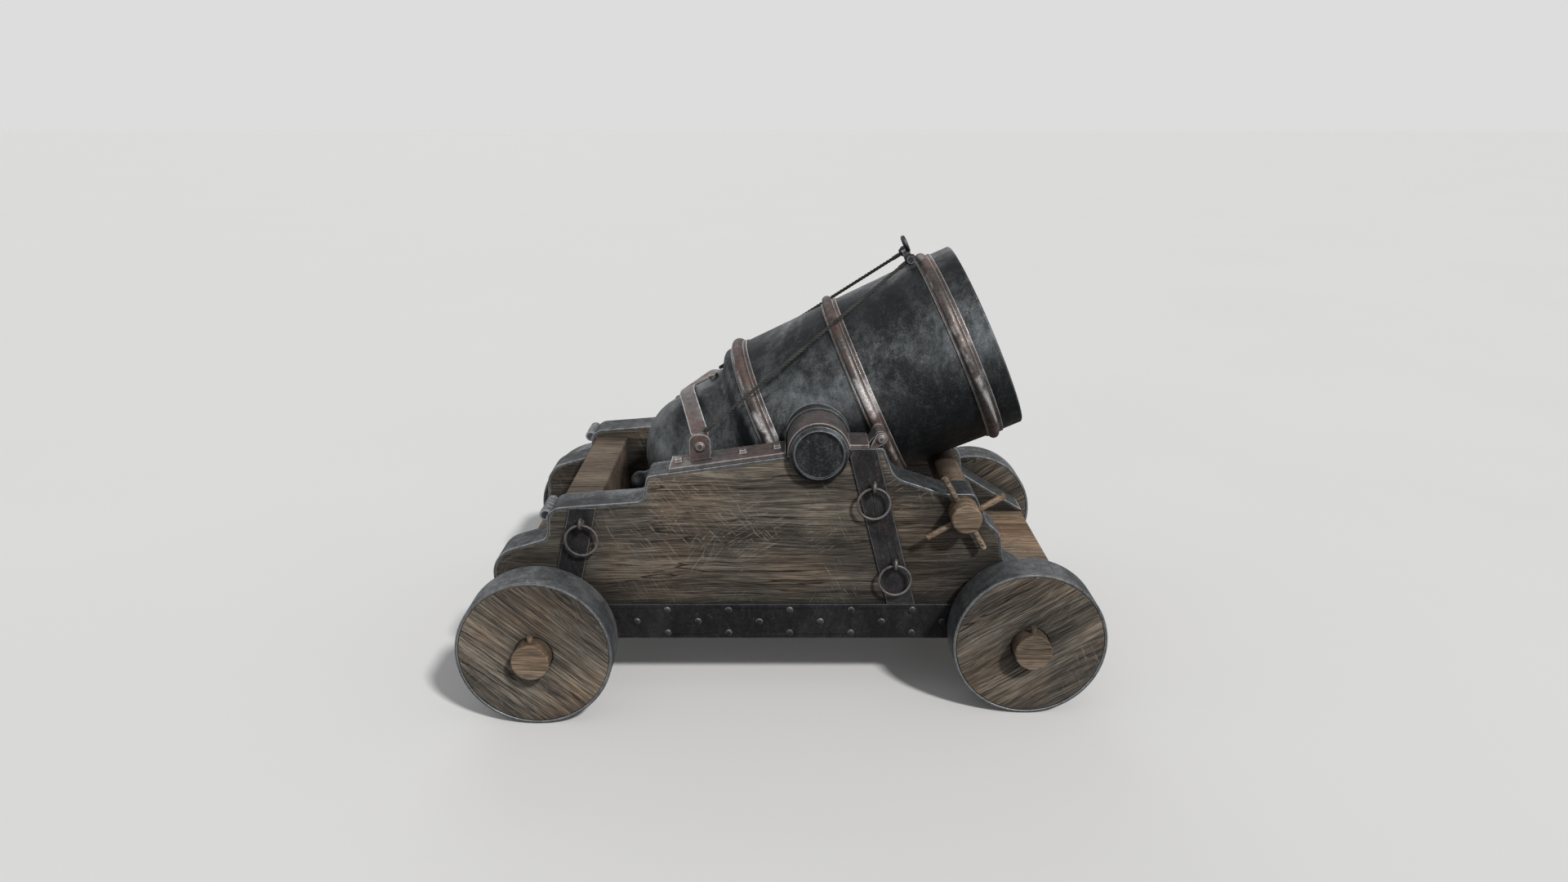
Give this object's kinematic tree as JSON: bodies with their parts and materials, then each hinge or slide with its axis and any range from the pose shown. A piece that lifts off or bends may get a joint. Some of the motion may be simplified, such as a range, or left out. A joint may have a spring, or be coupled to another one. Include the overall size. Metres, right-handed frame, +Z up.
{
  "type": "siege mortar on truck carriage",
  "caption": "Short wide-bored mortar barrel on a low stepped timber carriage with iron-shod solid wheels, hinged cap-squares, rope stays and an elevating windlass.",
  "frame": {"origin": "on the floor under the middle of the object's box, midway between the axles and between the cheeks", "axes": "+X towards the muzzle, +Y to the carriage's left, +Z up"},
  "size_m": [1.8829, 1.396, 1.3333],
  "materials": {
    "cheek_oak": "weathered grain",
    "pale_oak": "dry grain",
    "wheel_oak": "scored grain",
    "edge_iron": "worn blue-grey",
    "strap_iron": "hammered",
    "rusty_iron": "brown rust",
    "barrel_iron": "smoky",
    "tarred_rope": "tarred"
  },
  "bodies": {
    "carriage": {"cheek_right": "cheek_oak", "cheek_left": "cheek_oak", "edge_band_right": "edge_iron", "edge_band_left": "edge_iron", "side_plate_right": "strap_iron", "side_plate_left": "strap_iron", "front_strap_right": "strap_iron", "front_strap_left": "strap_iron", "rear_strap_right": "strap_iron", "rear_strap_left": "strap_iron", "cap_bar_right": "rusty_iron", "cap_bar_left": "rusty_iron", "stay_right": "tarred_rope", "stay_left": "tarred_rope", "plate_rivets": "strap_iron", "front_axletree": "pale_oak", "rear_axletree": "pale_oak", "front_bed": "pale_oak", "rear_bed": "pale_oak", "rear_transom": "pale_oak", "linch_pins": "pale_oak", "ring_eyebolts": "strap_iron", "cap_hinge_eyes": "rusty_iron", "cap_hinge_pins": "rusty_iron", "bar_bolts": "rusty_iron", "strap_lugs": "rusty_iron", "lug_bolts": "rusty_iron", "breech_strap": "rusty_iron", "corner_rolls": "strap_iron"},
    "barrel": {"barrel": "barrel_iron", "chamber_hoop": "rusty_iron", "middle_hoop": "rusty_iron", "muzzle_hoop": "rusty_iron", "vent_patch": "rusty_iron", "muzzle_eye": "barrel_iron", "stay_pin": "barrel_iron"},
    "windlass": {"windlass": "pale_oak", "handspikes": "pale_oak"},
    "cap_square_right": {"cap_square_right": "rusty_iron"},
    "front_wheel_right": {"front_wheel_right": "wheel_oak", "front_tyre_right": "edge_iron"},
    "rear_wheel_right": {"rear_wheel_right": "wheel_oak", "rear_tyre_right": "edge_iron"},
    "lashing_ring_rear_right": {"lashing_ring_rear_right": "strap_iron"},
    "lashing_ring_middle_right": {"lashing_ring_middle_right": "strap_iron"},
    "lashing_ring_front_right": {"lashing_ring_front_right": "strap_iron"},
    "cap_square_left": {"cap_square_left": "rusty_iron"},
    "front_wheel_left": {"front_wheel_left": "wheel_oak", "front_tyre_left": "edge_iron"},
    "rear_wheel_left": {"rear_wheel_left": "wheel_oak", "rear_tyre_left": "edge_iron"},
    "lashing_ring_rear_left": {"lashing_ring_rear_left": "strap_iron"},
    "lashing_ring_middle_left": {"lashing_ring_middle_left": "strap_iron"},
    "lashing_ring_front_left": {"lashing_ring_front_left": "strap_iron"}
  },
  "joints": [
    {"name": "barrel_elevation", "type": "hinge", "parent": "carriage", "child": "barrel", "pos_m": [0.101, 0, 0.768], "axis": [0, -1, 0], "range_deg": [0, 30], "deforming": ["stay_right", "stay_left"]},
    {"name": "cap_square_hinge_right", "type": "hinge", "parent": "carriage", "child": "cap_square_right", "pos_m": [0.28, -0.385, 0.806], "axis": [0, 1, 0], "range_deg": [0, 100]},
    {"name": "cap_square_hinge_left", "type": "hinge", "parent": "carriage", "child": "cap_square_left", "pos_m": [0.28, 0.385, 0.806], "axis": [0, 1, 0], "range_deg": [0, 100]},
    {"name": "front_wheel_spin_right", "type": "hinge", "parent": "carriage", "child": "front_wheel_right", "pos_m": [0.7165, -0.532, 0.225], "axis": [0, 1, 0], "continuous": true},
    {"name": "front_wheel_spin_left", "type": "hinge", "parent": "carriage", "child": "front_wheel_left", "pos_m": [0.7165, 0.532, 0.225], "axis": [0, 1, 0], "continuous": true},
    {"name": "rear_wheel_spin_right", "type": "hinge", "parent": "carriage", "child": "rear_wheel_right", "pos_m": [-0.7165, -0.589, 0.225], "axis": [0, 1, 0], "continuous": true},
    {"name": "rear_wheel_spin_left", "type": "hinge", "parent": "carriage", "child": "rear_wheel_left", "pos_m": [-0.7165, 0.589, 0.225], "axis": [0, 1, 0], "continuous": true},
    {"name": "rear_ring_swing_right", "type": "hinge", "parent": "carriage", "child": "lashing_ring_rear_right", "pos_m": [-0.5956, -0.47, 0.55008], "axis": [-1, 0, 0], "range_deg": [-6, 85]},
    {"name": "middle_ring_swing_right", "type": "hinge", "parent": "carriage", "child": "lashing_ring_middle_right", "pos_m": [0.26158, -0.47, 0.66497], "axis": [-1, 0, 0], "range_deg": [-6, 85]},
    {"name": "front_ring_swing_right", "type": "hinge", "parent": "carriage", "child": "lashing_ring_front_right", "pos_m": [0.33008, -0.47, 0.42143], "axis": [-1, 0, 0], "range_deg": [-6, 85]},
    {"name": "rear_ring_swing_left", "type": "hinge", "parent": "carriage", "child": "lashing_ring_rear_left", "pos_m": [-0.5956, 0.47, 0.55008], "axis": [1, 0, 0], "range_deg": [-6, 85]},
    {"name": "middle_ring_swing_left", "type": "hinge", "parent": "carriage", "child": "lashing_ring_middle_left", "pos_m": [0.26158, 0.47, 0.66497], "axis": [1, 0, 0], "range_deg": [-6, 85]},
    {"name": "front_ring_swing_left", "type": "hinge", "parent": "carriage", "child": "lashing_ring_front_left", "pos_m": [0.33008, 0.47, 0.42143], "axis": [1, 0, 0], "range_deg": [-6, 85]},
    {"name": "windlass_turn", "type": "hinge", "parent": "carriage", "child": "windlass", "pos_m": [0.525, 0, 0.58942], "axis": [0, 1, 0], "continuous": true}
  ]
}
